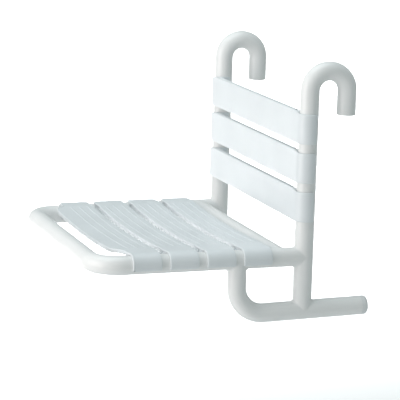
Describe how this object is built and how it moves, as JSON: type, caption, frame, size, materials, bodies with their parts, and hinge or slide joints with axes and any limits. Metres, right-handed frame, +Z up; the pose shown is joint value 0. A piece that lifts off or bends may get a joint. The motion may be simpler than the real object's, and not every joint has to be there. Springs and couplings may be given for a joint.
{
  "type": "hanging shower seat",
  "caption": "Slatted shower seat and backrest on bent plastic-sleeved tubes that hook over a round wall rail and lean on the wall.",
  "frame": {"origin": "on the axis of the wall rail, midway between the two hooks", "axes": "+Z up, +Y into the wall, -Y the way the sitter faces, X along the rail; the part is mirror-symmetric left to right"},
  "size_m": [0.4912, 0.4984, 0.4454],
  "materials": {
    "frame_sleeve": "smooth white polyamide with a soft gloss",
    "slat": "moulded white polyamide, ribbed on the seat",
    "wall_buffer": "soft matt white plastic",
    "core_tube": "corrosion-protected steel tube",
    "joint_fitting": "zinc-plated turned steel",
    "fastener": "stainless steel"
  },
  "bodies": {
    "root": {"upright_left": "frame_sleeve", "upright_right": "frame_sleeve", "support_left": "frame_sleeve", "support_right": "frame_sleeve", "seat_frame": "frame_sleeve", "cross_tube": "frame_sleeve", "hook_end_caps": "frame_sleeve", "joint_cover_caps": "frame_sleeve", "seat_slat_1": "slat", "seat_slat_2": "slat", "seat_slat_3": "slat", "seat_slat_4": "slat", "back_slat_1": "slat", "back_slat_2": "slat", "back_slat_3": "slat", "wall_buffer_left": "wall_buffer", "wall_buffer_right": "wall_buffer", "upright_core_left": "core_tube", "upright_core_right": "core_tube", "support_core_left": "core_tube", "support_core_right": "core_tube", "seat_frame_core": "core_tube", "cross_tube_core": "core_tube", "seat_joint_plugs": "joint_fitting", "upright_foot_plugs": "joint_fitting", "joint_saddle_washers": "joint_fitting", "leg_spigots": "joint_fitting", "cross_tube_spigots": "joint_fitting", "joint_bolts": "fastener", "spigot_set_screws": "fastener", "seat_slat_screws": "fastener", "back_slat_screws": "fastener"}
  },
  "joints": []
}
